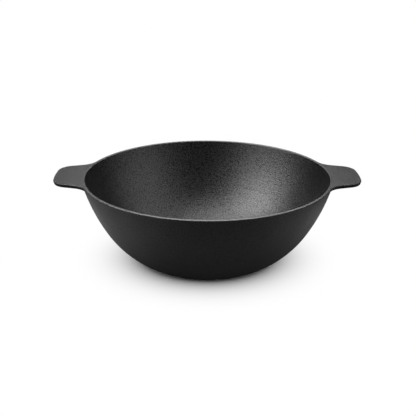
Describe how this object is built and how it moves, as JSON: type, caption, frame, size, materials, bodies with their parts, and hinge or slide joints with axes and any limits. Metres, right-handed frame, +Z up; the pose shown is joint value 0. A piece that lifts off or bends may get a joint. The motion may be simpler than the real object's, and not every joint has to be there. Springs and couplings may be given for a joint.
{
  "type": "kadai",
  "caption": "Deep round cast-iron kadai with a small flat foot, a plain flat rim and flat lug handles level with the rim, for frying and braising on a stove.",
  "frame": {"origin": "middle of the flat foot, on the surface that the pan stands on", "axes": "+Z up out of the bowl's mouth, +X through the right-hand handle, +Y away from the viewer of the picture"},
  "size_m": [0.3408, 0.2794, 0.1],
  "materials": {
    "seasoned_iron": "seasoned as cast, fine pebbled grain, semi-matt"
  },
  "bodies": {
    "root": {"bowl": "seasoned_iron", "left_handle": "seasoned_iron", "right_handle": "seasoned_iron"}
  },
  "joints": []
}
